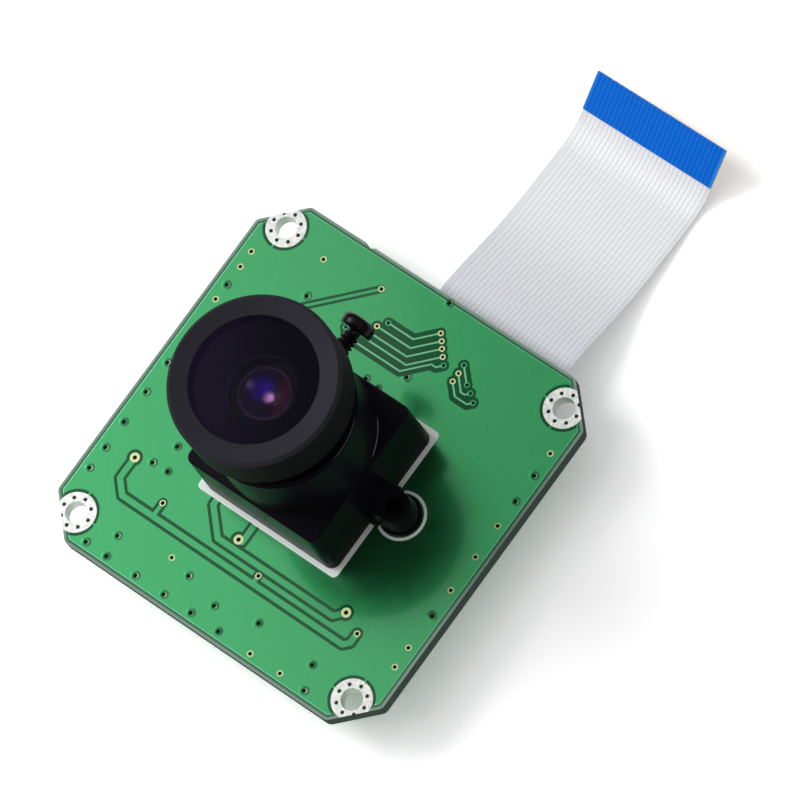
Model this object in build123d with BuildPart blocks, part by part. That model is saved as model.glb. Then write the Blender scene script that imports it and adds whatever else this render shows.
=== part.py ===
# Camera module: a square circuit board with a threaded lens holder, a screw-in wide-angle lens and a
# flat cable that leaves from a connector on the rear side.
#
# Millimetres. +Z is the way the lens looks, and +Y the way the flat cable leaves. The origin is the
# centre of the four mounting holes, on the rear face of the board.

import os
from math import copysign, hypot, radians, sqrt, tan

from build123d import *

os.makedirs("parts", exist_ok=True)

# Circuit board
board_side = 40.0
board_thickness = 1.6
hole_from_edge = 3.0
mounting_hole_radius = 1.1
corner_cut_from_hole = 1.5  # from a hole's centre to the cut corner's edge
corner_round = 0.8
tab_notch_x = -8.8  # scar of the tab that held the board in its panel
tab_notch_depth = 0.25
tab_notch_radius = 0.8

# Lens holder
base_side = 16.0
base_height = 8.0
base_draft = 1.0
base_round = 1.0
base_edge = 0.15
holder_wall = 1.1
cavity_height = 5.0
ceiling_thickness = 1.0
light_window_side = 7.8
collar_radius = 7.65
collar_height = 7.4
collar_edge = 0.3
collar_foot = 0.25
collar_foot_slope = 45.0
ear_from_base = 2.1  # from the base's side to the ear's hole
ear_radius = 1.9
ear_height = 3.0
ear_draft = 5.7
ear_foot_radius = 2.05
ear_foot_height = 0.25

# Image sensor and infrared filter
sensor_side = 11.4
sensor_height = 1.4
sensor_pocket_side = 9.2
sensor_pocket_depth = 0.9
die_length = 7.0
die_width = 5.6
die_thickness = 0.5
sensor_glass_side = 10.4
sensor_glass_thickness = 0.5
filter_side = 9.0
filter_thickness = 0.55

# Lens barrel and front ring
thread_radius = 5.95
thread_clearance = 0.05
barrel_rear_gap = 0.6  # above the holder's ceiling
barrel_seat_gap = 0.6  # between the collar and the barrel's neck
neck_radius = 6.9
neck_height = 3.2
head_radius = 8.38
head_height = 4.9
head_bevel = 0.35
cup_clearance = 0.03
front_opening_radius = 6.18
lip_thickness = 0.6
lip_edge = 0.12

# Lens elements, from the front to the rear
front_lens_radius = 7.0
front_lens_rise = 0.35
front_lens_thickness = 2.2
stack_radius = 3.55
stack_clearance = 0.03
stack_rim_radius = 3.45
stack_rim_thickness = 1.2
spacer_wall = 0.9
second_lens_thickness = 2.2
second_lens_hollow = 0.4
front_spacer_height = 3.4
stop_thickness = 0.2
stop_opening_radius = 1.1
rear_lens_thickness = 3.8
rear_ring_recess = 0.2
rear_ring_opening_radius = 2.8

# Screws
pan_head_radius = 1.95
pan_head_height = 1.2
pan_head_bevel = 0.4
recess_length = 2.0
recess_width = 0.45
recess_depth = 0.6
lock_screw_radius = 0.95
lock_screw_clearance = 0.02
lock_screw_height = 11.7  # above the board's front face
lock_screw_head_from_axis = 10.65
lock_screw_length = 4.0
lock_screw_neck_radius = 0.8
lock_screw_neck_length = 0.9
holder_screw_radius = 0.85
holder_screw_clearance = 0.02
holder_screw_length = 3.0
holder_screw_board_gap = 0.2

# Flat cable: its middle runs through these points, from the board's edge along Y and Z, with an arc at
# each bend
cable_x = 6.4
cable_pitch = 0.5
cable_ways = 30
film_thickness = 0.12
plug_level = -0.95
plug_insertion = 3.45
cable_bends_from_edge = [(1.8, plug_level), (10.3, -3.5), (21.1, -4.44)]
cable_bend_radii = [12.0, 25.0, 6.0]
cable_end_from_edge = (26.6, -0.6)
stiffener_thickness = 0.2
free_stiffener_length = 4.2
plug_stiffener_length = 6.0
strip_length = 3.6
strip_width = 0.32
strip_thickness = 0.03

# Connector on the rear side
connector_width = 18.6
connector_depth = 4.4
connector_height = 2.0
connector_mouth_from_edge = 7.0
connector_roof = 0.38
connector_floor = 0.3
slot_side_clearance = 0.12
slot_end_clearance = 0.15
contact_width = 0.22
contact_clearance = 0.03
contact_thickness = 0.15
contact_foot_length = 0.8
contact_bend = 1.2  # from the rear of the housing to the start of the finger
contact_tip = 3.3  # from the rear of the housing to the finger's tip
anchor_width = 0.5
anchor_length = 2.4
anchor_thickness = 0.2
latch_clearance = 0.05
latch_bar_depth = 1.0
latch_tongue_length = 2.6
latch_arm_width = 0.7
latch_arm_length = 2.8
latch_arm_height = 1.2

# Small parts on the rear side: length, width and height
capacitor_size = (1.6, 0.8, 0.8)
capacitor_pitch = (6.4, 9.0)
resistor_size = (1.0, 0.5, 0.35)
resistor_pitch = (2.4, 1.6)
resistor_place = (-9.5, -12.5)
chip_end_share = 0.22  # how much of a chip's length each metal end takes
regulator_size = (2.9, 1.6, 1.1)
regulator_place = (9.5, -12.5)
regulator_lead_width = 0.4
regulator_lead_reach = 0.6
regulator_lead_thickness = 0.15
regulator_lead_pitch = 0.95
oscillator_size = (3.2, 2.5, 0.9)
oscillator_place = (-12.0, 10.0)
oscillator_lid_inset = 0.25
oscillator_lid_height = 0.25

# Levels and places that follow from the sizes above
board_top = board_thickness
board_edge = board_side / 2
hole_reach = board_edge - hole_from_edge
corner_cut_leg = 2 * hole_from_edge - corner_cut_from_hole * sqrt(2)
base_top = board_top + base_height
base_top_side = base_side - 2 * base_height * tan(radians(base_draft)) - 2 * base_edge
ear_centre = base_side / 2 + ear_from_base
cavity_side = base_side - 2 * holder_wall
ceiling_bottom = board_top + cavity_height
bore_radius = thread_radius + thread_clearance
bore_bottom = ceiling_bottom + ceiling_thickness
collar_top = base_top + collar_height
sensor_top = board_top + sensor_height
pocket_floor = sensor_top - sensor_pocket_depth
barrel_rear = bore_bottom + barrel_rear_gap
neck_bottom = collar_top + barrel_seat_gap
head_bottom = neck_bottom + neck_height
head_top = head_bottom + head_height
lip_bottom = head_top - lip_thickness
cup_floor = lip_bottom - front_lens_thickness
cup_radius = front_lens_radius + cup_clearance
stack_top = cup_floor - stack_rim_thickness
barrel_bore_radius = stack_radius + stack_clearance
second_lens_bottom = stack_top - second_lens_thickness
stop_top = second_lens_bottom - front_spacer_height
stop_bottom = stop_top - stop_thickness
rear_lens_bottom = stop_bottom - rear_lens_thickness
spacer_hole_radius = stack_radius - spacer_wall
lock_screw_z = board_top + lock_screw_height
cable_width = (cable_ways + 1) * cable_pitch
connector_mouth_y = board_edge - connector_mouth_from_edge
cable_plug_end = (connector_mouth_y - plug_insertion, plug_level)
cable_bends = [(board_edge + y, z) for y, z in cable_bends_from_edge]
cable_free_end = (board_edge + cable_end_from_edge[0], cable_end_from_edge[1])
cable_route = [cable_plug_end] + cable_bends + [cable_free_end]
connector_rear_y = connector_mouth_y - connector_depth
slot_width = cable_width + 2 * slot_side_clearance
slot_rear_y = cable_plug_end[0] - slot_end_clearance
plug_top = plug_level + film_thickness / 2
plug_bottom = plug_level - film_thickness / 2 - stiffener_thickness
slot_floor = connector_floor - connector_height
corners = [(x, y) for x in (-hole_reach, hole_reach) for y in (-hole_reach, hole_reach)]
ears = [(-ear_centre, 0), (ear_centre, 0)]


def discs(places, radius, mode=Mode.ADD):
    """Adds round spots to the sketch that is open."""
    with Locations(*places):
        Circle(radius, mode=mode)


def lens_section(rim, flat, curved, edge, rise):
    """Draws half of a lens's section: one face is flat, and the other curved inside its edge radius."""
    sphere = (edge**2 + rise**2) / (2 * abs(rise))
    direction = copysign(1, curved - flat)
    halfway = copysign(sqrt(sphere**2 - edge**2 / 4) - sphere + abs(rise), rise) * direction
    middle = curved + direction * rise
    with BuildLine() as outline:
        Polyline((0, middle), (0, flat), (rim, flat), (rim, curved), (edge, curved))
        ThreePointArc((edge, curved), (edge / 2, curved + halfway), (0, middle))
    make_face(outline.edges())


def washer_section(hole, rim, bottom, top):
    """Draws half of a flat ring's section."""
    with BuildLine() as outline:
        Polyline((hole, bottom), (rim, bottom), (rim, top), (hole, top), close=True)
    make_face(outline.edges())


def screw_section(radius, length, bevel=0.0, neck=None):
    """Draws half of a pan-head screw's section, seated at the sketch's origin with its head upwards."""
    top = [(pan_head_radius, pan_head_height - bevel), (pan_head_radius - bevel, pan_head_height)]
    with BuildLine() as outline:
        Polyline(
            (0, pan_head_height),
            (0, -length),
            (radius, -length),
            *([(radius, -neck[1]), (neck[0], -neck[1]), (neck[0], 0)] if neck else [(radius, 0)]),
            (pan_head_radius, 0),
            *(top if bevel else top[:1]),
            close=True,
        )
    make_face(outline.edges())


def cross_recess(seat):
    """Cuts the driver's cross into the head of the screw that is seated on the plane."""
    with BuildSketch(seat.offset(pan_head_height)) as cross:
        Rectangle(recess_length, recess_width)
        Rectangle(recess_width, recess_length)
    extrude(cross.sketch, amount=-recess_depth, mode=Mode.SUBTRACT)


def run_plane(start, end, origin, lift):
    """Plane on a straight run of the cable: its y goes along the run, and its z away from the film."""
    along_y = (end[0] - start[0]) / hypot(end[0] - start[0], end[1] - start[1])
    along_z = (end[1] - start[1]) / hypot(end[0] - start[0], end[1] - start[1])
    place = (cable_x, origin[0] - along_z * lift, origin[1] + along_y * lift)
    return Plane(origin=place, x_dir=(1, 0, 0), z_dir=(0, -along_z, along_y))


def chip_bodies(size):
    """Draws a chip's body between its metal ends."""
    length, width = size[:2]
    Rectangle(length * (1 - 2 * chip_end_share), width)


def chip_ends(size):
    """Draws the two metal ends of a chip."""
    length, width = size[:2]
    with GridLocations(length * (1 - chip_end_share), 1, 2, 1):
        Rectangle(length * chip_end_share, width)


# Circuit board with its holes
with BuildPart() as circuit_board:
    with BuildSketch(Plane.XY) as board_face:
        Rectangle(board_side, board_side)
        chamfer(board_face.vertices(), corner_cut_leg)
        fillet(board_face.vertices(), corner_round)
        with Locations((tab_notch_x, board_edge + tab_notch_radius - tab_notch_depth)):
            Circle(tab_notch_radius, mode=Mode.SUBTRACT)
        discs(corners, mounting_hole_radius, Mode.SUBTRACT)
        discs(ears, holder_screw_radius + holder_screw_board_gap, Mode.SUBTRACT)
    extrude(amount=board_thickness)
circuit_board.part.label = "circuit_board"
export_step(circuit_board.part, "parts/circuit_board.step")

# Sensor package with the pocket for its die
with BuildPart() as sensor_package:
    with BuildSketch(Plane.XY.offset(board_top)):
        Rectangle(sensor_side, sensor_side)
    extrude(amount=sensor_height)
    with BuildSketch(Plane.XY.offset(pocket_floor)):
        Rectangle(sensor_pocket_side, sensor_pocket_side)
    extrude(amount=sensor_pocket_depth, mode=Mode.SUBTRACT)
sensor_package.part.label = "sensor_package"
export_step(sensor_package.part, "parts/sensor_package.step")

# Sensor die
with BuildPart() as sensor_die:
    with BuildSketch(Plane.XY.offset(pocket_floor)):
        Rectangle(die_length, die_width)
    extrude(amount=die_thickness)
sensor_die.part.label = "sensor_die"
export_step(sensor_die.part, "parts/sensor_die.step")

# Cover glass of the sensor
with BuildPart() as sensor_glass:
    with BuildSketch(Plane.XY.offset(sensor_top)):
        Rectangle(sensor_glass_side, sensor_glass_side)
    extrude(amount=sensor_glass_thickness)
sensor_glass.part.label = "sensor_glass"
export_step(sensor_glass.part, "parts/sensor_glass.step")

# Infrared filter under the holder's ceiling
with BuildPart() as infrared_filter:
    with BuildSketch(Plane.XY.offset(ceiling_bottom)):
        Rectangle(filter_side, filter_side)
    extrude(amount=-filter_thickness)
infrared_filter.part.label = "infrared_filter"
export_step(infrared_filter.part, "parts/infrared_filter.step")

# Moulded lens holder: a square base, an ear on each side and a round collar with the thread
with BuildPart() as lens_holder:
    with BuildSketch(Plane.XY.offset(board_top)):
        RectangleRounded(base_side, base_side, base_round)
    extrude(amount=base_height, taper=base_draft)
    chamfer(lens_holder.faces().sort_by(Axis.Z)[-1].edges(), base_edge)
    with BuildSketch(Plane.XY.offset(board_top)):
        SlotCenterToCenter(2 * ear_centre, 2 * ear_radius)
    extrude(amount=ear_height, taper=ear_draft)
    with BuildSketch(Plane.XY.offset(board_top)):
        discs(ears, ear_foot_radius)
    extrude(amount=ear_foot_height)
    with BuildSketch(Plane.XY.offset(base_top)):
        Circle(collar_radius + collar_foot)
        Rectangle(base_top_side, base_top_side, mode=Mode.INTERSECT)
    extrude(amount=collar_foot, taper=collar_foot_slope)
    with BuildSketch(Plane.XZ):
        with BuildLine():
            Polyline(
                (0, ceiling_bottom),
                (collar_radius, ceiling_bottom),
                (collar_radius, collar_top - collar_edge),
                (collar_radius - collar_edge, collar_top),
                (0, collar_top),
                close=True,
            )
        make_face()
    revolve(axis=Axis.Z)
    with BuildSketch(Plane.XY.offset(board_top)):
        Rectangle(cavity_side, cavity_side)
    extrude(amount=cavity_height, mode=Mode.SUBTRACT)
    with BuildSketch(Plane.XY.offset(ceiling_bottom)):
        Rectangle(light_window_side, light_window_side)
    extrude(amount=ceiling_thickness, mode=Mode.SUBTRACT)
    with BuildSketch(Plane.XY.offset(bore_bottom)):
        Circle(bore_radius)
    extrude(amount=collar_top - bore_bottom, mode=Mode.SUBTRACT)
    with BuildSketch(Plane.XY.offset(board_top)):
        discs(ears, holder_screw_radius + holder_screw_clearance)
    extrude(amount=ear_height, mode=Mode.SUBTRACT)
    with BuildSketch(Plane(origin=(0, 0, lock_screw_z), x_dir=(1, 0, 0), z_dir=(0, 1, 0))):
        Circle(lock_screw_radius + lock_screw_clearance)
    extrude(amount=collar_radius, mode=Mode.SUBTRACT)
lens_holder.part.label = "lens_holder"
export_step(lens_holder.part, "parts/lens_holder.step")

# Screws that hold the lens holder, from the rear of the board
with BuildPart() as holder_screws:
    for ear_x, ear_y in ears:
        rear_seat = Plane(origin=(ear_x, ear_y, 0), x_dir=(1, 0, 0), z_dir=(0, 0, -1))
        with BuildSketch(Plane(origin=(ear_x, ear_y, 0), x_dir=(1, 0, 0), z_dir=(0, 1, 0))):
            screw_section(holder_screw_radius, holder_screw_length)
        revolve(axis=Axis((ear_x, ear_y, 0), (0, 0, 1)))
        cross_recess(rear_seat)
holder_screws.part.label = "holder_screws"
export_step(holder_screws.part, "parts/holder_screws.step")

# Screw that locks the lens in its thread, through the collar's side
with BuildPart() as lock_screw:
    lock_seat = Plane(origin=(0, lock_screw_head_from_axis, lock_screw_z), x_dir=(1, 0, 0), z_dir=(0, 1, 0))
    with BuildSketch(Plane(origin=lock_seat.origin, x_dir=(1, 0, 0), z_dir=(0, 0, 1))):
        lock_screw_neck = (lock_screw_neck_radius, lock_screw_neck_length)
        screw_section(lock_screw_radius, lock_screw_length, pan_head_bevel, lock_screw_neck)
    revolve(axis=Axis(lock_seat.origin, (0, 1, 0)))
    cross_recess(lock_seat)
lock_screw.part.label = "lock_screw"
export_step(lock_screw.part, "parts/lock_screw.step")

# Barrel of the lens: threaded stem, neck, and head with the cup for the front element
with BuildPart() as lens_barrel:
    with BuildSketch(Plane.XZ):
        with BuildLine():
            Polyline(
                (barrel_bore_radius, barrel_rear),
                (thread_radius, barrel_rear),
                (thread_radius, neck_bottom),
                (neck_radius, neck_bottom),
                (neck_radius, head_bottom),
                (head_radius, head_bottom),
                (head_radius, lip_bottom),
                (cup_radius, lip_bottom),
                (cup_radius, cup_floor),
                (stack_rim_radius, cup_floor),
                (stack_rim_radius, stack_top),
                (barrel_bore_radius, stack_top),
                close=True,
            )
        make_face()
    revolve(axis=Axis.Z)
lens_barrel.part.label = "lens_barrel"
export_step(lens_barrel.part, "parts/lens_barrel.step")

# Front ring, which holds the front element in the cup
with BuildPart() as front_ring:
    with BuildSketch(Plane.XZ):
        with BuildLine():
            Polyline(
                (front_opening_radius, lip_bottom),
                (front_opening_radius, head_top - lip_edge),
                (front_opening_radius + lip_edge, head_top),
                (head_radius - head_bevel, head_top),
                (head_radius, head_top - head_bevel),
                (head_radius, lip_bottom),
                close=True,
            )
        make_face()
    revolve(axis=Axis.Z)
front_ring.part.label = "front_ring"
export_step(front_ring.part, "parts/front_ring.step")

# Front element, domed outside
with BuildPart() as front_lens:
    with BuildSketch(Plane.XZ):
        lens_section(front_lens_radius, cup_floor, lip_bottom, front_opening_radius, front_lens_rise)
    revolve(axis=Axis.Z)
front_lens.part.label = "front_lens"
export_step(front_lens.part, "parts/front_lens.step")

# Second element, hollow towards the front
with BuildPart() as second_lens:
    with BuildSketch(Plane.XZ):
        lens_section(stack_radius, second_lens_bottom, stack_top, spacer_hole_radius, -second_lens_hollow)
    revolve(axis=Axis.Z)
second_lens.part.label = "second_lens"
export_step(second_lens.part, "parts/second_lens.step")

# Spacer in front of the aperture stop
with BuildPart() as front_spacer:
    with BuildSketch(Plane.XZ):
        washer_section(spacer_hole_radius, stack_radius, stop_top, second_lens_bottom)
    revolve(axis=Axis.Z)
front_spacer.part.label = "front_spacer"
export_step(front_spacer.part, "parts/front_spacer.step")

# Aperture stop
with BuildPart() as aperture_stop:
    with BuildSketch(Plane.XZ):
        washer_section(stop_opening_radius, stack_radius, stop_bottom, stop_top)
    revolve(axis=Axis.Z)
aperture_stop.part.label = "aperture_stop"
export_step(aperture_stop.part, "parts/aperture_stop.step")

# Rear element, flat
with BuildPart() as rear_lens:
    with BuildSketch(Plane.XY.offset(rear_lens_bottom)):
        Circle(stack_radius)
    extrude(amount=rear_lens_thickness)
rear_lens.part.label = "rear_lens"
export_step(rear_lens.part, "parts/rear_lens.step")

# Ring that holds the elements in from the rear
with BuildPart() as rear_ring:
    with BuildSketch(Plane.XZ):
        washer_section(rear_ring_opening_radius, stack_radius, barrel_rear + rear_ring_recess, rear_lens_bottom)
    revolve(axis=Axis.Z)
rear_ring.part.label = "rear_ring"
export_step(rear_ring.part, "parts/rear_ring.step")

# Film of the flat cable
with BuildPart() as cable_film:
    with BuildSketch(Plane.YZ.offset(cable_x - cable_width / 2)):
        with BuildLine():
            FilletPolyline(*cable_route, radius=cable_bend_radii)
        trace(line_width=film_thickness)
    extrude(amount=cable_width)
cable_film.part.label = "cable_film"
export_step(cable_film.part, "parts/cable_film.step")

# Blue backing of the free end, on the face towards the lens
with BuildPart() as free_end_stiffener:
    free_top = run_plane(cable_bends[-1], cable_free_end, cable_free_end, film_thickness / 2)
    with BuildSketch(free_top):
        with Locations((0, -free_stiffener_length / 2)):
            Rectangle(cable_width, free_stiffener_length)
    extrude(amount=stiffener_thickness)
free_end_stiffener.part.label = "free_end_stiffener"
export_step(free_end_stiffener.part, "parts/free_end_stiffener.step")

# Bare conductors of the free end, on its other face
with BuildPart() as free_end_strips:
    free_bottom = run_plane(cable_bends[-1], cable_free_end, cable_free_end, -film_thickness / 2)
    with BuildSketch(free_bottom):
        with Locations((0, -strip_length / 2)):
            with GridLocations(cable_pitch, 1, cable_ways, 1):
                Rectangle(strip_width, strip_length)
    extrude(amount=-strip_thickness)
free_end_strips.part.label = "free_end_strips"
export_step(free_end_strips.part, "parts/free_end_strips.step")

# Blue backing of the end in the connector, on the face away from the board
with BuildPart() as plug_end_stiffener:
    plug_under = run_plane(cable_plug_end, cable_bends[0], cable_plug_end, -film_thickness / 2)
    with BuildSketch(plug_under):
        with Locations((0, plug_stiffener_length / 2)):
            Rectangle(cable_width, plug_stiffener_length)
    extrude(amount=-stiffener_thickness)
plug_end_stiffener.part.label = "plug_end_stiffener"
export_step(plug_end_stiffener.part, "parts/plug_end_stiffener.step")

# Housing of the connector, open towards the board's edge, with a window for the contacts
with BuildPart() as connector_housing:
    with BuildSketch(Plane.XY):
        with Locations((cable_x, connector_mouth_y - connector_depth / 2)):
            Rectangle(connector_width, connector_depth)
    extrude(amount=-connector_height)
    with BuildSketch(Plane.XY.offset(-connector_roof)):
        with Locations((cable_x, (slot_rear_y + connector_mouth_y) / 2)):
            Rectangle(slot_width, connector_mouth_y - slot_rear_y)
    extrude(amount=slot_floor + connector_roof, mode=Mode.SUBTRACT)
    window_length = contact_tip + contact_clearance
    with BuildSketch(Plane.XY):
        with Locations((cable_x, connector_rear_y + window_length / 2)):
            Rectangle((cable_ways - 1) * cable_pitch + contact_width + 2 * contact_clearance, window_length)
    extrude(amount=-connector_roof, mode=Mode.SUBTRACT)
connector_housing.part.label = "connector_housing"
export_step(connector_housing.part, "parts/connector_housing.step")

# Contacts: a foot on the board, and a finger that presses on the cable
with BuildPart() as connector_contacts:
    for way in range(cable_ways):
        contact_x = cable_x + (way - (cable_ways - 1) / 2) * cable_pitch
        with BuildSketch(Plane.YZ.offset(contact_x - contact_width / 2)):
            with BuildLine():
                Polyline(
                    (connector_rear_y - contact_foot_length, 0),
                    (connector_rear_y + contact_bend, 0),
                    (connector_rear_y + contact_tip, plug_top),
                    (connector_rear_y + contact_bend, -contact_thickness),
                    (connector_rear_y - contact_foot_length, -contact_thickness),
                    close=True,
                )
            make_face()
        extrude(amount=contact_width)
connector_contacts.part.label = "connector_contacts"
export_step(connector_contacts.part, "parts/connector_contacts.step")

# Solder plates at the ends of the connector
with BuildPart() as connector_anchors:
    with BuildSketch(Plane.XY):
        with Locations((cable_x, connector_rear_y + anchor_length / 2)):
            with GridLocations(connector_width + anchor_width, 1, 2, 1):
                Rectangle(anchor_width, anchor_length)
    extrude(amount=-anchor_thickness)
connector_anchors.part.label = "connector_anchors"
export_step(connector_anchors.part, "parts/connector_anchors.step")

# Latch that slides out of the mouth to free the cable: a bar, a tongue under the cable and two arms
with BuildPart() as connector_latch:
    latch_floor = slot_floor + latch_clearance
    latch_top = plug_bottom - latch_clearance
    latch_rear_y = connector_mouth_y + latch_clearance
    arm_pitch = connector_width + 2 * latch_clearance + latch_arm_width
    with BuildSketch(Plane.XY.offset(latch_floor)):
        with Locations((cable_x, latch_rear_y + latch_bar_depth / 2)):
            Rectangle(arm_pitch + latch_arm_width, latch_bar_depth)
        with Locations((cable_x, latch_rear_y - latch_tongue_length / 2)):
            Rectangle(cable_width, latch_tongue_length)
    extrude(amount=latch_top - latch_floor)
    with BuildSketch(Plane.XY.offset(latch_floor)):
        with Locations((cable_x, latch_rear_y + (latch_bar_depth - latch_arm_length) / 2)):
            with GridLocations(arm_pitch, 1, 2, 1):
                Rectangle(latch_arm_width, latch_arm_length + latch_bar_depth)
    extrude(amount=latch_arm_height)
connector_latch.part.label = "connector_latch"
export_step(connector_latch.part, "parts/connector_latch.step")

# Capacitors round the sensor's place
with BuildPart() as capacitor_bodies:
    with BuildSketch(Plane.XY):
        with GridLocations(*capacitor_pitch, 3, 2):
            chip_bodies(capacitor_size)
    extrude(amount=-capacitor_size[2])
capacitor_bodies.part.label = "capacitor_bodies"
export_step(capacitor_bodies.part, "parts/capacitor_bodies.step")

with BuildPart() as capacitor_ends:
    with BuildSketch(Plane.XY):
        with GridLocations(*capacitor_pitch, 3, 2):
            chip_ends(capacitor_size)
    extrude(amount=-capacitor_size[2])
capacitor_ends.part.label = "capacitor_ends"
export_step(capacitor_ends.part, "parts/capacitor_ends.step")

# Resistors in a block
with BuildPart() as resistor_bodies:
    with BuildSketch(Plane.XY):
        with Locations(resistor_place):
            with GridLocations(*resistor_pitch, 3, 2):
                chip_bodies(resistor_size)
    extrude(amount=-resistor_size[2])
resistor_bodies.part.label = "resistor_bodies"
export_step(resistor_bodies.part, "parts/resistor_bodies.step")

with BuildPart() as resistor_ends:
    with BuildSketch(Plane.XY):
        with Locations(resistor_place):
            with GridLocations(*resistor_pitch, 3, 2):
                chip_ends(resistor_size)
    extrude(amount=-resistor_size[2])
resistor_ends.part.label = "resistor_ends"
export_step(resistor_ends.part, "parts/resistor_ends.step")

# Voltage regulator with three leads on one side and two on the other
with BuildPart() as regulator_body:
    with BuildSketch(Plane.XY):
        with Locations(regulator_place):
            Rectangle(regulator_size[0], regulator_size[1])
    extrude(amount=-regulator_size[2])
    chamfer(regulator_body.faces().sort_by(Axis.Z)[0].edges(), regulator_lead_thickness)
regulator_body.part.label = "regulator_body"
export_step(regulator_body.part, "parts/regulator_body.step")

with BuildPart() as regulator_leads:
    lead_y = (regulator_size[1] + regulator_lead_reach) / 2
    with BuildSketch(Plane.XY):
        with Locations((regulator_place[0], regulator_place[1] - lead_y)):
            with GridLocations(regulator_lead_pitch, 1, 3, 1):
                Rectangle(regulator_lead_width, regulator_lead_reach)
        with Locations((regulator_place[0], regulator_place[1] + lead_y)):
            with GridLocations(2 * regulator_lead_pitch, 1, 2, 1):
                Rectangle(regulator_lead_width, regulator_lead_reach)
    extrude(amount=-regulator_lead_thickness)
regulator_leads.part.label = "regulator_leads"
export_step(regulator_leads.part, "parts/regulator_leads.step")

# Oscillator: a ceramic base with a metal lid
with BuildPart() as oscillator_base:
    with BuildSketch(Plane.XY):
        with Locations(oscillator_place):
            Rectangle(oscillator_size[0], oscillator_size[1])
    extrude(amount=oscillator_lid_height - oscillator_size[2])
oscillator_base.part.label = "oscillator_base"
export_step(oscillator_base.part, "parts/oscillator_base.step")

with BuildPart() as oscillator_lid:
    with BuildSketch(Plane.XY.offset(oscillator_lid_height - oscillator_size[2])):
        with Locations(oscillator_place):
            Rectangle(oscillator_size[0] - 2 * oscillator_lid_inset, oscillator_size[1] - 2 * oscillator_lid_inset)
    extrude(amount=-oscillator_lid_height)
oscillator_lid.part.label = "oscillator_lid"
export_step(oscillator_lid.part, "parts/oscillator_lid.step")
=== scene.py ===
"""Camera module on a white studio floor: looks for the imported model, in its own frame."""
from math import atan2, ceil, cos, pi, radians, sin, tan

import bpy
from mathutils import Matrix, Quaternion, Vector


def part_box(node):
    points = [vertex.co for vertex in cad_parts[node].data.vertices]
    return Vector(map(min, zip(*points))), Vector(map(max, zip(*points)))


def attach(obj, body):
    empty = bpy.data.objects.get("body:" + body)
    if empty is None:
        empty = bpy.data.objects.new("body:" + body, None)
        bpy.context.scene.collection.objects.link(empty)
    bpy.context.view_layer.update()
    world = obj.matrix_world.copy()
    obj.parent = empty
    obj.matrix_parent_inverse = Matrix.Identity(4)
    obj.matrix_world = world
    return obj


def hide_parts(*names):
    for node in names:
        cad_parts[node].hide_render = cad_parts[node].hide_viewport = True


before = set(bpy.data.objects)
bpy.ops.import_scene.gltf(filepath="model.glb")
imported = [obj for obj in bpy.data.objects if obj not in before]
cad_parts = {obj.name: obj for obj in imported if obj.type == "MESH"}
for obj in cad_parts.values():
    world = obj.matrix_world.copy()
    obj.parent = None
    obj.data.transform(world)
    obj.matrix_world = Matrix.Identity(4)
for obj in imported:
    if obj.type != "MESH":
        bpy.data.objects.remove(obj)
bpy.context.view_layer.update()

MM = 0.001

# Camera: where it stands, and the directions of the picture's right and top edges
camera_place = Vector((263.08, -76.69, 637.58)) * MM
picture_right = Vector((0.774556, 0.586181, -0.237600))
picture_up = Vector((-0.508963, 0.800649, 0.316097))
focal_length = 329.2
sensor_width = 36.0
nearest_view, farthest_view = 10, 10000

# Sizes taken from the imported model
board_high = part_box("circuit_board")[1]
board_top = board_high.z / MM
board_half = board_high.x / MM
cable_low, cable_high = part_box("cable_film")
cable_x = (cable_low.x + cable_high.x) / 2 / MM
cable_width = (cable_high.x - cable_low.x) / MM

# Board: places on its front, seen from the front with the cable leaving at the top
hole_from_centre = 17.0
corner_cut_from_hole = 1.5
plated_radius = 1.3
pad_radius = 2.05
pad_gap = 0.28
spoke_width = 0.25
pad_via_ring = 1.5
pad_via_radius = 0.18
pour_inset = 0.47
pour_glint_inset = 0.05  # from the pour's edge to the middle of the painted highlight along it
silk_half = 8.5
silk_width = 0.8
silk_round = 0.5
silk_gap_half = 2.2  # the print stops where the holder's ears leave its base
ear_centre = 10.1
ear_silk_radius = 2.5
ear_silk_width = 0.3
ear_silk_start = 8.9
wide_half, wide_gap = 0.3, 0.3
tap_half = 0.2
lone_half, lone_gap = 0.14, 0.25
fine_half, fine_gap = 0.085, 0.45
fine_ring, fine_hole = 0.29, 0.15
bright_ring, bright_hole = 0.33, 0.19
halo_radius, halo_rim, halo_hole = 0.58, 0.26, 0.2
# How far the painted highlight on the vias' rims is shifted to one side of each via
rim_highlight_shift = (0.09, 0.05, 0)
large_ring, large_hole, large_gap = 0.5, 0.21, 0.3
thread_pitch = 0.9
mask_metal = 0.98
edge_blur = 0.03

lone_route = [(-5.22, 17.03), (-12.4, 9.85)]
wide_routes = [
    [
        (-15.46, -9.51), (-15.46, -11.9), (-14.16, -13.2), (13.0, -13.2), (13.54, -12.66), (13.54, -11.6),
    ],
    [(-6.03, -8.58), (-6.03, -9.05), (-3.6, -11.48), (10.5, -11.48), (11.39, -10.53)],
    [(-1.35, -10.49), (-1.35, -6.5)],
]
taps = [[(-10.33, -11.64), (-10.33, -13.2)], [(2.01, -12.29), (2.01, -13.2)]]
fine_routes = [
    [(-2.56, 14.67), (0.5, 14.67), (2.4, 16.58)],
    [(-3.32, 13.81), (0.8, 13.81), (2.96, 15.99)],
    [(-4.1, 12.93), (1.0, 12.93), (3.44, 15.39)],
    [(-4.9, 12.22), (1.45, 12.22), (3.99, 14.78)],
    [(-5.86, 12.1), (-5.16, 11.4), (1.3, 11.4), (3.5, 13.6), (4.04, 13.6), (4.58, 14.14)],
    [(6.25, 15.22), (7.67, 13.81)],
    [(6.28, 14.29), (7.62, 12.9), (8.06, 12.9), (8.47, 13.31)],
    [(6.28, 13.35), (7.38, 12.25), (8.82, 12.25), (9.26, 12.69)],
]
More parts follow.
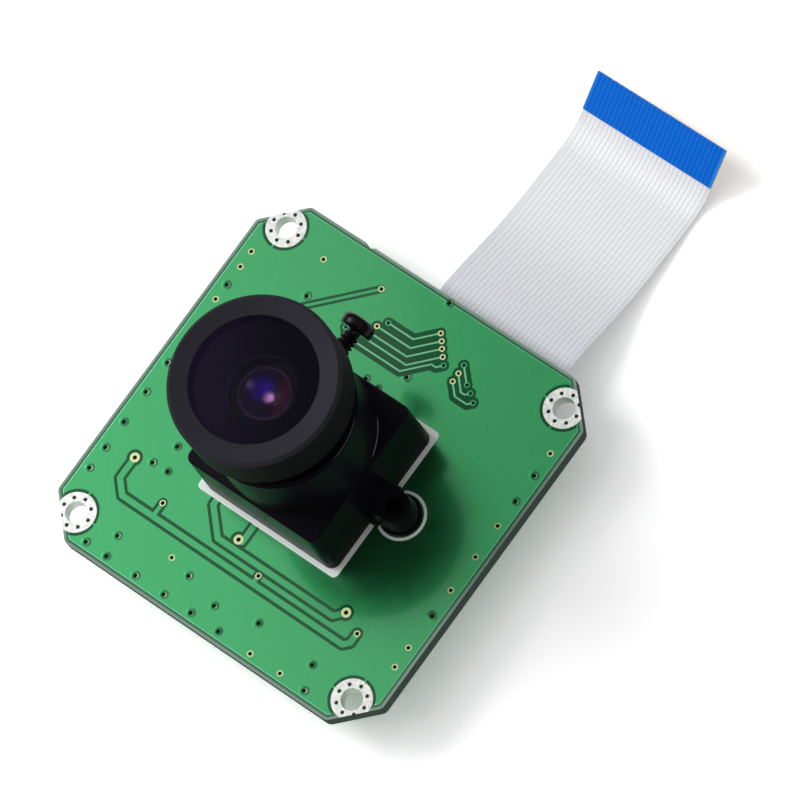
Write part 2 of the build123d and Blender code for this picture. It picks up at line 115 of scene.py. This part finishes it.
fine_gold = [
    (2.4, 16.58), (2.96, 15.99), (3.44, 15.39), (3.99, 14.78),
    (-3.32, 13.81), (6.28, 14.29), (6.28, 13.35),
]
bright_vias = [
    (-11.89, 16.38), (-18.44, 13.21), (18.58, 12.68), (18.58, 4.22), (18.61, 0.61), (18.58, -3.29),
    (18.54, -10.0), (18.57, -12.22), (-6.26, -15.46), (6.0, -18.82), (9.61, -18.78), (-10.33, -11.64),
    (2.01, -12.29), (13.54, -11.6), (-5.22, 17.03), (-18.42, 11.40), (-18.49, 7.47),
]
halo_vias = [
    (-18.44, 9.22), (-11.01, 12.54), (-18.6, -0.2), (-18.58, -3.68), (-18.58, -7.26), (-18.56, -10.28),
    (-18.63, -12.75), (-12.58, -6.39), (-13.67, -8.96), (-11.86, -8.89), (-12.1, -16.64), (-3.74, -16.0),
    (-14.35, -18.82), (-11.79, -18.86), (-8.18, -18.82), (-4.69, -18.79), (-1.33, -18.79), (2.04, -18.78),
    (12.6, -18.85), (4.86, -16.0), (11.74, -16.42), (0.17, -17.0), (18.58, 10.08), (18.58, 7.07),
    (18.58, -6.28), (1.28, 19.46), (2.25, 11.26), (-1.05, 9.0), (0.45, 8.85),
]
large_vias = [(-15.46, -9.51), (-1.82, -10.49), (11.39, -10.53)]

# Cable: its middle runs through these points (y, z), with an arc at each bend
cable_route = [(9.55, -0.95), (21.8, -0.95), (30.3, -3.5), (41.1, -4.44), (46.6, -0.6)]
cable_bend_radii = [12.0, 25.0, 6.0]
cable_pitch = 0.5
cable_ways = 30
cable_edge = 0.5
film_half = 0.03
rib_half_width = 0.17
rib_half = 0.05
cable_shade_y = (34.0, 21.0)  # the film grows a little darker between these, towards the board

# Holder: painted highlights in arcs on its collar, each a height, its middle and its reach in degrees, and
# its strength
collar_radius = 7.65
collar_highlight_arcs = [(board_top + 8.06, 30, 16, 0.8), (board_top + 15.28, 9, 19, 0.35)]

# Lens
cup_radius = 7.1
cup_floor_z = 21.3
opening_radius = 6.22
hollow_edge = 2.65
# Places on the second element of the painted violet reflection, the painted highlight and the painted grey
# reflection
violet_reflection_place = (-0.69, 0.28)
highlight_place = (0.43, -0.08)
grey_reflection_place = (-1.79, -0.06)
lean_place = (0.39, -0.64)
inside_curve = 0.07

# Lock screw
lock_screw_z = board_top + 11.7
lock_screw_seat = 10.65
lock_screw_length = 4.0
lock_screw_neck = 0.45
lock_screw_radius = 0.93
lock_screw_pitch = 0.45
thread_depth = 0.24
thread_half = 0.4  # share of the pitch from a thread's crest to its root
screw_head_radius = 1.7
screw_head_height = 1.25
screw_head_round = 0.6
screw_head_rim = 0.06
screw_sides = 48
screw_steps_per_turn = 16

# Studio
floor_level = -4.6
floor_reach = 400.0


class Signal:
    """One output of a shader node, so that shader sums read as Python."""

    def __init__(self, look, socket):
        self.look = look
        self.socket = socket

    def __add__(self, other):
        return self.look.math("ADD", self, other)

    def __sub__(self, other):
        return self.look.math("SUBTRACT", self, other)

    def __rsub__(self, other):
        return self.look.math("SUBTRACT", other, self)

    def __mul__(self, other):
        return self.look.math("MULTIPLY", self, other)

    def __truediv__(self, other):
        return self.look.math("DIVIDE", self, other)

    def __abs__(self):
        return self.look.math("ABSOLUTE", self)

    def __neg__(self):
        return self * -1

    __radd__ = __add__
    __rmul__ = __mul__


class Look:
    """A procedural material of one slot. Places in its shader are in millimetres, in the row frame."""

    def __init__(self, slot, **constants):
        self.slot = slot
        self.material = bpy.data.materials.new(slot)
        self.material.use_nodes = True
        self.tree = self.material.node_tree
        self.shader = self.tree.nodes["Principled BSDF"]
        for name, value in constants.items():
            self.set(name.replace("_", " ").title().replace("Ior", "IOR"), value)
        coordinates = self.node("ShaderNodeTexCoord", {}, {}, "Object")
        self.place = self.scaled(coordinates, 1 / MM)
        self.x, self.y, self.z = self.parts(self.place)
        self.flat = self.pair(self.x, self.y)
        self.radius = self.length(self.flat)

    def set(self, name, value):
        """Gives an input of the material a colour, a number or a signal."""
        socket = self.shader.inputs[name]
        if isinstance(value, Signal):
            self.tree.links.new(value.socket, socket)
        else:
            socket.default_value = value

    def node(self, kind, settings, inputs, output):
        """Adds a node and returns one of its outputs."""
        node = self.tree.nodes.new(kind)
        for name, value in settings.items():
            setattr(node, name, value)
        for key, value in inputs.items():
            if isinstance(value, Signal):
                self.tree.links.new(value.socket, node.inputs[key])
            else:
                node.inputs[key].default_value = value
        return Signal(self, node.outputs[output])

    def math(self, operation, *inputs):
        return self.node("ShaderNodeMath", {"operation": operation}, dict(enumerate(inputs)), 0)

    def vector(self, operation, *inputs, output=0):
        return self.node("ShaderNodeVectorMath", {"operation": operation}, dict(enumerate(inputs)), output)

    def scaled(self, vector, factor):
        """A vector made longer or shorter."""
        return self.node("ShaderNodeVectorMath", {"operation": "SCALE"}, {0: vector, 3: factor}, 0)

    def pair(self, x, y):
        """A vector of two numbers."""
        return self.node("ShaderNodeCombineXYZ", {}, {0: x, 1: y}, 0)

    def parts(self, vector):
        """The three numbers of a vector."""
        return [self.node("ShaderNodeSeparateXYZ", {}, {0: vector}, i) for i in range(3)]

    def length(self, vector):
        return self.vector("LENGTH", vector, output="Value")

    def away(self, place):
        """Distance from a place (x, y) to the shaded point, seen along Z."""
        return self.vector("DISTANCE", self.flat, (*place, 0), output="Value")

    def least(self, *signals):
        """The smallest of several signals."""
        result = signals[0]
        for signal in signals[1:]:
            result = self.math("MINIMUM", result, signal)
        return result

    def most(self, *signals):
        """The largest of several signals."""
        result = signals[0]
        for signal in signals[1:]:
            result = self.math("MAXIMUM", result, signal)
        return result

    def step(self, signal, low, high):
        """Rises smoothly from 0 at low to 1 at high, or falls if low is the higher."""
        settings = {"interpolation_type": "SMOOTHSTEP"}
        if low > high:
            return 1 - self.step(signal, high, low)
        return self.node("ShaderNodeMapRange", settings, {0: signal, 1: low, 2: high}, 0)

    def mix(self, share, first, second):
        """Blends two colours."""
        inputs = {0: share, 6: first, 7: second}
        return self.node("ShaderNodeMix", {"data_type": "RGBA"}, inputs, 2)

    def noise(self, scale, detail=2.0):
        """Noise from 0 to 1, with so many spots to the millimetre."""
        inputs = {"Vector": self.place, "Scale": scale, "Detail": detail}
        return self.node("ShaderNodeTexNoise", {}, inputs, "Fac")

    def bump(self, height, strength=1.0):
        """Surface relief from a height in millimetres."""
        inputs = {"Strength": strength, "Distance": MM, "Height": height}
        self.set("Normal", self.node("ShaderNodeBump", {}, inputs, "Normal"))

    def upward(self):
        """How far the surface faces towards +Z, from -1 to 1."""
        return self.parts(self.node("ShaderNodeNewGeometry", {}, {}, "True Normal"))[2]

    def paint(self, *names):
        """Puts the material on the model's own nodes."""
        for name in names:
            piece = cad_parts[name]
            piece.data.materials.clear()
            piece.data.materials.append(self.material)


def tint(text):
    """Linear colour of an sRGB hex value."""
    values = [int(text[i:i + 2], 16) / 255 for i in (0, 2, 4)]
    return tuple(v / 12.92 if v <= 0.04045 else ((v + 0.055) / 1.055) ** 2.4 for v in values) + (1.0,)


def grey(level):
    """Linear grey."""
    return (level, level, level, 1.0)


def piece_from(name, points, faces, look, body, replaces, smooth=True):
    """Makes a mesh piece from points in millimetres."""
    mesh = bpy.data.meshes.new(name)
    mesh.from_pydata([Vector(point) * MM for point in points], [], faces)
    mesh.validate()
    mesh.update()
    mesh.polygons.foreach_set("use_smooth", [smooth] * len(mesh.polygons))
    mesh.materials.append(look.material)
    piece = bpy.data.objects.new(name, mesh)
    bpy.context.scene.collection.objects.link(piece)
    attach(piece, body)
    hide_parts(*replaces)


def strip_faces(rows, columns):
    """Faces between closed rows of points."""
    faces = []
    for row in range(rows - 1):
        for column in range(columns):
            after = (column + 1) % columns
            a, b = row * columns + column, row * columns + after
            faces.append((a, b, b + columns, a + columns))
    return faces


# Circuit board
def segment(look, start, end):
    """Distance to a straight stretch of track."""
    a = Vector((*start, 0))
    along = Vector((*end, 0)) - a
    from_start = look.vector("SUBTRACT", look.flat, a)
    share = look.vector("DOT_PRODUCT", from_start, along / along.length_squared, output="Value")
    nearest = look.scaled(along, look.node("ShaderNodeClamp", {}, {0: share}, 0))
    return look.vector("DISTANCE", from_start, nearest, output="Value")


def routes(look, lines):
    """Distance to the nearest of several tracks."""
    return look.least(*[segment(look, a, b) for line in lines for a, b in zip(line, line[1:])])


def spots(look, places):
    """Distance to the nearest of several places."""
    return look.least(*[look.away(place) for place in places])


def outline_distance(look):
    """Distance inwards from the board's outline."""
    cut_sum = 2 * hole_from_centre + corner_cut_from_hole * 2 ** 0.5
    cut = (abs(look.x) + abs(look.y) - cut_sum) / 2 ** 0.5
    return -look.most(abs(look.x) - board_half, abs(look.y) - board_half, cut)


def white_print(look):
    """Square line round the holder, open at its ears, and an arc round each ear."""
    x, y = abs(look.x), abs(look.y)
    straight = silk_half - silk_round
    outside = look.length(look.pair(look.most(x - straight, 0.0), look.most(y - straight, 0.0))) - silk_round
    inside = look.most(x, y) - (silk_half - silk_width)
    square = look.step(outside, edge_blur, -edge_blur) * look.step(inside, -edge_blur, edge_blur)
    beyond_ears = look.step(y, silk_gap_half, silk_gap_half + 0.08)
    square = square * look.most(beyond_ears, look.step(x, silk_half - 0.6, silk_half - 0.7))
    half = ear_silk_width / 2
    arc = abs(look.length(look.pair(x - ear_centre, look.y)) - (ear_silk_radius - half))
    arc = look.step(arc, half + edge_blur, half - edge_blur)
    return look.most(square, arc * look.step(x, ear_silk_start - 0.05, ear_silk_start + 0.05))


def board_look():
    """Green mask over copper and laminate, with bare vias and pads, white print and a sawn edge."""
    look = Look("green_mask", ior=1.5, specular_ior_level=0.0, coat_roughness=0.06)
    upward = look.upward()
    front = look.step(upward, 0.4, 0.6)
    side = 1 - look.step(abs(upward), 0.4, 0.6)

    # Tracks and vias under the mask, and what is cleared of copper round them
    lone = routes(look, [lone_route])
    wide = routes(look, wide_routes)
    tap = routes(look, taps)
    fine = routes(look, fine_routes)
    bright = spots(look, bright_vias)
    halo = spots(look, halo_vias)
    large = spots(look, large_vias)
    fine_ends = spots(look, [end for line in fine_routes for end in (line[0], line[-1])])
    track = look.least(
        lone - lone_half, wide - wide_half, tap - tap_half, fine - fine_half,
        large - large_ring, bright - bright_ring, fine_ends - bright_ring * 0.9,
    )
    cleared = look.least(
        lone - (lone_half + lone_gap), wide - (wide_half + wide_gap), fine - (fine_half + fine_gap),
        tap - (tap_half + wide_gap), large - (large_ring + large_gap),
        fine_ends - (bright_ring + fine_gap / 2),
    )

    # Pads of the mounting holes, with spokes to the copper round them and a ring of small vias
    corner_x, corner_y = abs(look.x) - hole_from_centre, abs(look.y) - hole_from_centre
    from_hole = look.length(look.pair(corner_x, corner_y))
    far, near = look.most(abs(corner_x), abs(corner_y)), look.least(abs(corner_x), abs(corner_y))
    pad_ring = look.most(from_hole - (pad_radius + pad_gap), spoke_width / 2 - near)
    pad = look.step(from_hole, pad_radius + 0.02, pad_radius - 0.03)
    folded = look.pair(far, near)
    diagonal = pad_via_ring / 2 ** 0.5
    pad_via = look.least(*[
        look.vector("DISTANCE", folded, (*place, 0), output="Value")
        for place in ((pad_via_ring, 0), (diagonal, diagonal))
    ])
    # The small vias in the pads are painted dark as painted shade of their holes
    pad_hole = look.step(pad_via, pad_via_radius + 0.03, pad_via_radius - 0.04)

    # Poured copper, up to a margin along the outline
    to_edge = outline_distance(look)
    cleared = look.least(cleared, pad_ring, to_edge - pour_inset)
    copper = look.most(look.step(cleared, -0.02, edge_blur), look.step(track, edge_blur, -0.02))
    copper = copper * front + (1 - front) * look.step(to_edge - pour_inset, 0, edge_blur)

    # Holes and bare rings of the vias; the holes' dark colour is painted shade
    hole = look.most(
        look.step(bright, bright_hole + 0.02, bright_hole - 0.03),
        look.step(halo, halo_hole + 0.02, halo_hole - 0.03),
        look.step(large, large_hole + 0.02, large_hole - 0.03),
        look.step(fine_ends, fine_hole + 0.02, fine_hole - 0.02),
    )
    gold = look.most(
        look.step(spots(look, fine_gold), fine_ring + 0.02, fine_ring - 0.02),
        look.step(bright, bright_ring + 0.01, bright_ring - 0.04),
        look.step(large, large_ring + 0.01, large_ring - 0.04),
    )
    gold = gold * (1 - hole)
    silk = white_print(look) * front

    # Colours, from what lies lowest to what lies on top
    weave = look.noise(5.0, 3.0)
    turns = 2 * pi / thread_pitch
    threads = look.math("SINE", look.x * turns) * look.math("SINE", look.y * turns)
    over_copper = look.mix(weave * 0.8 + threads * 0.06 + 0.1, tint("2e8b53"), tint("39955c"))
    over_laminate = look.mix(weave, tint("064e29"), tint("0a5930"))
    green = look.mix(copper, over_laminate, over_copper)
    green = look.mix(look.step(to_edge, 0.46, 0.1), green, tint("86a092"))
    # Painted highlight: a pale line just inside the pour's edge, where light catches the copper's step
    pour_edge_glint = look.step(abs(to_edge - pour_inset - pour_glint_inset), 0.07, 0.02)
    green = look.mix(pour_edge_glint * 0.4, green, tint("7fd6a8"))
    clearance_edge = look.step(abs(cleared), 0.07, 0.02) * look.step(to_edge, 0.6, 0.8)
    green = look.mix(clearance_edge * 0.4, green, tint("0b3f27"))
    # Painted highlight: the fine tracks are drawn lighter along their crowns
    fine_track_highlight = look.step(fine - fine_half, edge_blur, -edge_blur)
    green = look.mix(fine_track_highlight * 0.4, green, tint("8fd0a8"))
    halo_shade = look.step(halo, halo_radius, halo_rim)
    green = look.mix(halo_shade * 0.8, green, tint("0a4a2a"))
    # Painted highlight: a pale crescent on the lit side of about half the via holes
    lit = look.vector("SUBTRACT", look.flat, rim_highlight_shift)
    lit_halo = look.least(*[look.vector("DISTANCE", lit, (*place, 0), output="Value") for place in halo_vias])
    via_rim_highlight = look.step(lit_halo, 0.27, 0.2) * look.step(look.noise(0.45), 0.42, 0.55)
    green = look.mix(via_rim_highlight * 0.5, green, tint("bcdcae"))
    green = look.mix(gold, green, tint("cfd39c"))
    green = look.mix(hole, green, tint("0a2012"))
    green = look.mix(silk, green, tint("f2f8f4"))
    tin = look.mix(look.noise(3.0, 3.0), tint("a0a4a0"), tint("eeefeb"))
    green = look.mix(pad, green, look.mix(pad_hole, tin, tint("18251c")))
    laminate = look.mix(look.noise(2.5, 4.0), tint("48574f"), tint("606f66"))
    plated = side * look.step(from_hole, plated_radius + 0.05, plated_radius - 0.05)
    look.set("Base Color", look.mix(plated, look.mix(side, green, laminate), tint("c2cbc2")))

    # Gloss and relief
    metal = look.most(pad * (1 - side) * (1 - pad_hole), plated)
    masked = copper * (1 - hole) * (1 - silk) * (1 - gold) * (1 - pad) * (1 - side)
    look.set("Metallic", look.most(gold * 0.5, metal * 0.85, masked * mask_metal))
    look.set("Roughness", 0.42 - 0.225 * masked + 0.06 * look.noise(0.6))
    look.set("Coat Weight", (1 - look.most(side, silk * 0.7, metal, gold, hole)) * 0.45)
    relief = copper * 0.015 - hole * 0.15 + silk * 0.02 + 0.0012 * look.noise(2.0, 1.0)
    relief = relief + look.noise(9.0) * side * 0.02 + metal * 0.03 * look.noise(1.6)
    look.bump(relief - pad_hole * 0.12 + halo_shade * 0.03 + threads * masked * 0.0002, 0.6)
    look.paint("circuit_board")


# Plastics, metals and other plain finishes: a colour that varies a little, grain and gloss
def grained(slot, dark, light, roughness, grain, *names, **constants):
    look = Look(slot, **constants)
    look.set("Base Color", look.mix(look.noise(6.0, 3.0), tint(dark), tint(light)))
    look.set("Roughness", roughness + 0.08 * (look.noise(2.4) - 0.5))
    look.bump(look.noise(15.0, 2.0) * grain, 0.5)
    look.paint(*names)
    return look


def glass(slot, dark, light, *names, ior=1.5, **constants):
    """Clear glass with a faint unevenness in its tint and its polish."""
    look = Look(slot, ior=ior, transmission_weight=1.0, **constants)
    look.set("Base Color", look.mix(look.noise(0.5), tint(dark), tint(light)))
    look.set("Roughness", 0.01 * look.noise(0.8))
    look.paint(*names)


def lens_head_looks():
    """Black anodised barrel and ring: matt outside, with upward faces painted lighter than the sides as
    painted light, and a faint violet glow painted inside the opening by emission.
    """
    for name, inner_radius, inner_low in (
        ("lens_barrel", cup_radius, cup_floor_z), ("front_ring", opening_radius, 0.0)
    ):
        look = Look("black_anodised", ior=1.5, specular_ior_level=0.025, emission_strength=1.0)
        # Upward faces get a lighter black than the sides: painted light on one anodised finish
        front = look.step(look.upward(), 0.3, 0.6)
        grain = look.noise(9.0, 3.0)
        shaded_side_black = look.mix(grain, tint("08090a"), tint("0c0d0e"))
        lit_front_black = look.mix(grain, tint("2b2b31"), tint("34343b"))
        inner = look.step(look.radius, inner_radius + 0.05, inner_radius)
        inner = inner * look.step(look.z, inner_low - 0.1, inner_low)
        look.set("Base Color", look.mix(inner, look.mix(front, shaded_side_black, lit_front_black), tint("040305")))
        # Painted glow: emission inside the opening, stronger towards -X and -Y, stands in for violet light
        # seen through the glass
        lean = look.step(look.x * 0.8 + look.y * 0.6, 2.0, -5.0)
        painted_opening_glow = look.mix(lean, tint("0e0d15"), tint("161122"))
        look.set("Emission Color", look.mix(inner * (0.92 + 0.08 * grain), tint("000000"), painted_opening_glow))
        look.set("Roughness", 0.5 + 0.08 * look.noise(3.0))
        look.bump(look.noise(20.0) * 0.004 + look.radius * 0.33 * front)
        look.paint(name)


def holder_look():
    """Glossy black moulding whose collar has painted highlights at its foot and at its top."""
    look = Look("holder_plastic", ior=1.5, specular_ior_level=0.04)
    colour = look.mix(look.noise(6.0, 3.0), tint("100e14"), tint("15131a"))
    for height, middle, reach, strength in collar_highlight_arcs:
        towards = (cos(radians(middle)), sin(radians(middle)), 0)
        along = look.vector("DOT_PRODUCT", look.flat, towards, output="Value") / look.radius
        arc = look.step(along, cos(radians(reach)), cos(radians(reach * 0.6)))
        edge = look.step(abs(look.z - height), 0.1, 0.03)
        edge = edge * look.step(abs(look.radius - collar_radius), 0.2, 0.12)
        # Painted highlight along the collar's edge, in a pale grey
        colour = look.mix(arc * edge * strength, colour, tint("b8b8be"))
    look.set("Base Color", colour)
    look.set("Roughness", 0.3 + 0.08 * (look.noise(2.4) - 0.5))
    look.bump(look.noise(15.0) * 0.002, 0.5)
    look.paint("lens_holder")


def inner_glass():
    """Second element: dark inside, with violet and pale spots painted as reflections, and a grey patch, a red
    zone and a reddish edge to its hollow painted as glow by emission.
    """
    look = Look("lens_glass", ior=1.5, specular_ior_level=0.03, emission_strength=1.0)
    # Painted glow: the edge ring, the grey patch and the red zone go into emission, standing in for light
    # seen through the glass
    edge = look.step(abs(look.radius - hollow_edge + 0.15), 0.24, 0.04)
    inside = look.step(look.radius, hollow_edge, hollow_edge - 0.6)
    violet = look.step(look.away(violet_reflection_place), 1.7, 0.2)
    bright = look.step(look.away(highlight_place), 0.8, 0.2)
    grey_reflection = look.step(look.away(grey_reflection_place), 0.6, 0.1)
    red_glow = look.step(look.x + 0.35 * look.y, 0.7, 1.7) * inside
    painted_element_glow = look.mix(inside, tint("080610"), tint("140b1e"))
    painted_element_glow = look.mix(red_glow, painted_element_glow, tint("280b1a"))
    painted_element_glow = look.mix(edge * (0.75 + 0.25 * look.step(look.x, -1.5, 1.5)), painted_element_glow, tint("26192a"))
    painted_element_glow = look.mix(grey_reflection * 0.8, painted_element_glow, tint("44364f"))
    # Painted reflections: metallic violet and pale spots placed where the lamps' reflections land, partly
    # real reflection of the lamps, partly painted
    coating_and_reflection = look.mix(violet, tint("020203"), tint("1c0a66"))
    look.set("Base Color", look.mix(bright, coating_and_reflection, tint("6a4a68")))
    look.set("Emission Color", painted_element_glow)
    look.set("Metallic", look.most(violet, bright))
    look.set("Roughness", 0.26 + 0.05 * look.noise(0.8))
    lean = look.away(lean_place)
    look.bump(lean * lean * inside_curve * inside)
    look.paint("second_lens")


# Flat cable
def cable_line(step=0.6):
    """Points (y, z) and slopes along the cable's middle, with arcs at its bends."""
    line = [(*cable_route[0], 0.0)]
    for before, bend, after, radius in zip(cable_route, cable_route[1:], cable_route[2:], cable_bend_radii):
        start = atan2(bend[1] - before[1], bend[0] - before[0])
        turn = atan2(after[1] - bend[1], after[0] - bend[0]) - start
        reach = abs(radius * tan(turn / 2))
        count = max(4, ceil(abs(turn) * radius / step))
        side = radius if turn > 0 else -radius
        y, z = bend[0] - reach * cos(start), bend[1] - reach * sin(start)
        centre = (y - side * sin(start), z + side * cos(start))
        for i in range(count + 1):
            slope = start + turn * i / count
            line.append((centre[0] + side * sin(slope), centre[1] - side * cos(slope), slope))
    line.append((*cable_route[-1], line[-1][2]))
    return line


def cable_section():
    """Points (x, height) round the film's section: its ribs on both faces."""
    upper = [(-cable_width / 2, film_half)]
    for way in range(cable_ways):
        middle = (way - (cable_ways - 1) / 2) * cable_pitch
        for share, height in ((-1.3, film_half), (-0.8, rib_half), (0.8, rib_half), (1.3, film_half)):
            upper.append((middle + share * rib_half_width, height))
    upper.append((cable_width / 2, film_half))
    return upper + [(x, -height) for x, height in reversed(upper)]


def across_cable(look):
    """Place across the cable from its middle, and the ribs over its conductors from 0 to 1."""
    across = look.x - cable_x
    half_pitch = cable_pitch / 2
    phase = look.math("PINGPONG", across + half_pitch * cable_ways, half_pitch) / half_pitch
    return across, look.step(phase, 0.35, 0.6)


def film_piece():
    """White film with a rib over each conductor."""
    look = Look("cable_white", ior=1.5)
    across, rib = across_cable(look)
    ribs_end = cable_width / 2 - cable_edge
    rib = rib * look.step(abs(across), ribs_end + 0.05, ribs_end - 0.05)
    white = look.mix(rib, tint("f0f1f6"), tint("ffffff"))
    look.set("Base Color", look.mix(look.step(look.y, *cable_shade_y) * 0.3, white, tint("bcc4d0")))
    look.set("Roughness", 0.28 + 0.1 * look.noise(1.5))
    line = cable_line()
    section = cable_section()
    points = []
    for y, z, slope in line:
        points += [(cable_x + x, y - height * sin(slope), z + height * cos(slope)) for x, height in section]
    faces = strip_faces(len(line), len(section))
    last = (len(line) - 1) * len(section)
    faces.append(tuple(range(len(section)))[::-1])
    faces.append(tuple(range(last, last + len(section))))
    piece_from("ribbed_film", points, faces, look, "board", ["cable_film"], smooth=False)


def stiffener_look():
    """Blue backing through which the conductors press faintly."""
    look = Look("stiffener_blue", ior=1.5, specular_ior_level=0.25)
    across, rib = across_cable(look)
    rim = look.step(abs(across), cable_width / 2 - 0.25, cable_width / 2 - 0.12)
    look.set("Base Color", look.mix(rim, look.mix(rib, tint("0276ea"), tint("0066d6")), tint("2f8fe8")))
    look.set("Roughness", 0.3 + 0.08 * look.noise(1.0))
    look.bump(rib * 0.012 * (1 - rim) + 0.004 * look.noise(1.0), 0.6)
    look.paint("free_end_stiffener", "plug_end_stiffener")


# Lock screw: head, neck and a helical thread, all round an axis along Y
def lock_screw_piece(look):
    core = lock_screw_radius - thread_depth
    round_middle = screw_head_radius - screw_head_round, screw_head_height - screw_head_round
    profile = [(0.0, screw_head_height)]
    for i in range(9):
        angle = i / 8 * pi / 2
        profile.append((
            round_middle[0] + screw_head_round * sin(angle), round_middle[1] + screw_head_round * cos(angle),
        ))
    profile += [
        (screw_head_radius, screw_head_rim), (screw_head_radius - screw_head_rim, 0.0),
        (core + 0.05, 0.0), (core, -0.05), (core, -lock_screw_neck),
    ]
    rows = [[point] * screw_sides for point in profile]

    # Thread: a ridge that winds round the core and fades out at both ends
    length = lock_screw_length - lock_screw_neck
    steps = int(length / lock_screw_pitch * screw_steps_per_turn)
    for i in range(steps + 1):
        along = -lock_screw_neck - length * i / steps
        row = []
        for k in range(screw_sides):
            phase = (along / lock_screw_pitch + k / screw_sides) % 1.0
            height = max(0.0, 1 - abs(phase - 0.5) / thread_half)
            fade = min(1.0, i / screw_steps_per_turn * 1.5, (steps - i) / screw_steps_per_turn * 2)
            row.append((core + thread_depth * height * fade, along))
        rows.append(row)
    rows.append([(0.0, -lock_screw_length)] * screw_sides)

    points = []
    for row in rows:
        for k, (radius, along) in enumerate(row):
            angle = 2 * pi * k / screw_sides
            points.append((radius * sin(angle), lock_screw_seat + along, lock_screw_z + radius * cos(angle)))
    faces = strip_faces(len(rows), screw_sides)
    piece_from("threaded_lock_screw", points, faces, look, "board", ["lock_screw"])


# Studio: floor, soft lights and camera
def studio():
    mesh = bpy.data.meshes.new("floor")
    corners = [(-1, -1), (1, -1), (1, 1), (-1, 1)]
    points = [Vector((x * floor_reach, y * floor_reach, floor_level)) * MM for x, y in corners]
    mesh.from_pydata(points, [], [(0, 1, 2, 3)])
    floor = bpy.data.objects.new("floor", mesh)
    bpy.context.scene.collection.objects.link(floor)
    look = Look("floor_white", roughness=0.9, specular_ior_level=0.0, emission_strength=1.0)
    rays = ("Is Camera Ray", "Is Glossy Ray", "Is Transmission Ray")
    seen = look.most(*[look.node("ShaderNodeLightPath", {}, {}, ray) for ray in rays])
    look.set("Base Color", look.mix(seen, grey(0.93), grey(1.3)))
    look.set("Emission Color", look.mix(seen, grey(0.0), grey(0.2)))
    mesh.materials.append(look.material)

    world = bpy.data.worlds.new("studio")
    bpy.context.scene.world = world
    world.use_nodes = True
    background = world.node_tree.nodes["Background"]
    background.inputs["Color"].default_value = grey(1.0)
    background.inputs["Strength"].default_value = 0.15

    softbox("ceiling", (0, 0, 800), (0, 0.1, 0), (1700, 1700), 3.35)
    softbox("panel", (-597, -203, 799), (-597, -202.9, 0), (850, 1000), 2.85, turn=0.795)
    softbox("key", (-600, -100, 520), (0, 0, 0), (400, 400), 3.5)


def softbox(name, place, aim, size, power, turn=0.0):
    """Rectangular lamp at a place, turned towards another and then round its own axis."""
    light = bpy.data.lights.new(name, "AREA")
    light.shape = "RECTANGLE"
    light.size, light.size_y = (length * MM for length in size)
    light.energy = power
    lamp = bpy.data.objects.new(name, light)
    lamp.location = Vector(place) * MM
    towards = (Vector(aim) - Vector(place)).to_track_quat("-Z", "Y")
    lamp.rotation_euler = (towards @ Quaternion((0, 0, 1), turn)).to_euler()
    bpy.context.scene.collection.objects.link(lamp)


def camera():
    data = bpy.data.cameras.new("camera")
    data.lens = focal_length
    data.sensor_width = sensor_width
    data.clip_start, data.clip_end = nearest_view * MM, farthest_view * MM
    eye = bpy.data.objects.new("camera", data)
    right = picture_right.normalized()
    back = right.cross(picture_up).normalized()
    up = back.cross(right)
    eye.matrix_world = Matrix.Translation(camera_place) @ Matrix((right, up, back)).transposed().to_4x4()
    bpy.context.scene.collection.objects.link(eye)
    bpy.context.scene.camera = eye


def finishes():
    board_look()
    holder_look()
    lens_head_looks()
    grained("spacer_black", "060607", "0b0b0d", 0.5, 0.01, "front_spacer", "aperture_stop", "rear_ring")
    screw = grained("black_screw", "0c0909", "151011", 0.2, 0.003, "holder_screws", ior=1.5,
                    specular_ior_level=0.12)
    lock_screw_piece(screw)
    glass("lens_glass", "f4f2ff", "f8f6ff", "front_lens", ior=1.0, coat_weight=0.042, coat_roughness=0.35)
    inner_glass()
    glass("lens_glass", "fafaff", "ffffff", "rear_lens", specular_tint=tint("66d0ff"))
    glass("cover_glass", "eefaff", "f4fcff", "sensor_glass")
    glass("filter_glass", "a4e4ec", "aceaf0", "infrared_filter", specular_tint=tint("ff8080"))
    grained("package_ceramic", "2f2e2b", "3f3d38", 0.6, 0.01, "sensor_package", "oscillator_base")
    grained("sensor_silicon", "20242c", "2c323e", 0.15, 0.0, "sensor_die", metallic=0.6)
    stiffener_look()
    film_piece()
    grained("contact_gold", "c69a42", "dcb35e", 0.28, 0.004, "free_end_strips", "connector_contacts",
            metallic=1.0)
    grained("connector_plastic", "cfc8b6", "dfd9ca", 0.5, 0.006, "connector_housing")
    grained("latch_plastic", "202022", "2b2b2e", 0.45, 0.006, "connector_latch")
    grained("solder_metal", "b4b8ba", "d2d5d6", 0.35, 0.01, "connector_anchors", "capacitor_ends",
            "resistor_ends", "regulator_leads", metallic=1.0)
    grained("capacitor_ceramic", "7c6147", "977a5b", 0.45, 0.01, "capacitor_bodies")
    grained("resistor_black", "121214", "1c1c20", 0.35, 0.01, "resistor_bodies")
    grained("chip_plastic", "18181a", "232327", 0.55, 0.01, "regulator_body")
    grained("lid_metal", "bfa56f", "d6c08f", 0.3, 0.004, "oscillator_lid", metallic=1.0)


bpy.context.scene.view_settings.view_transform = "Standard"
camera()
studio()
finishes()
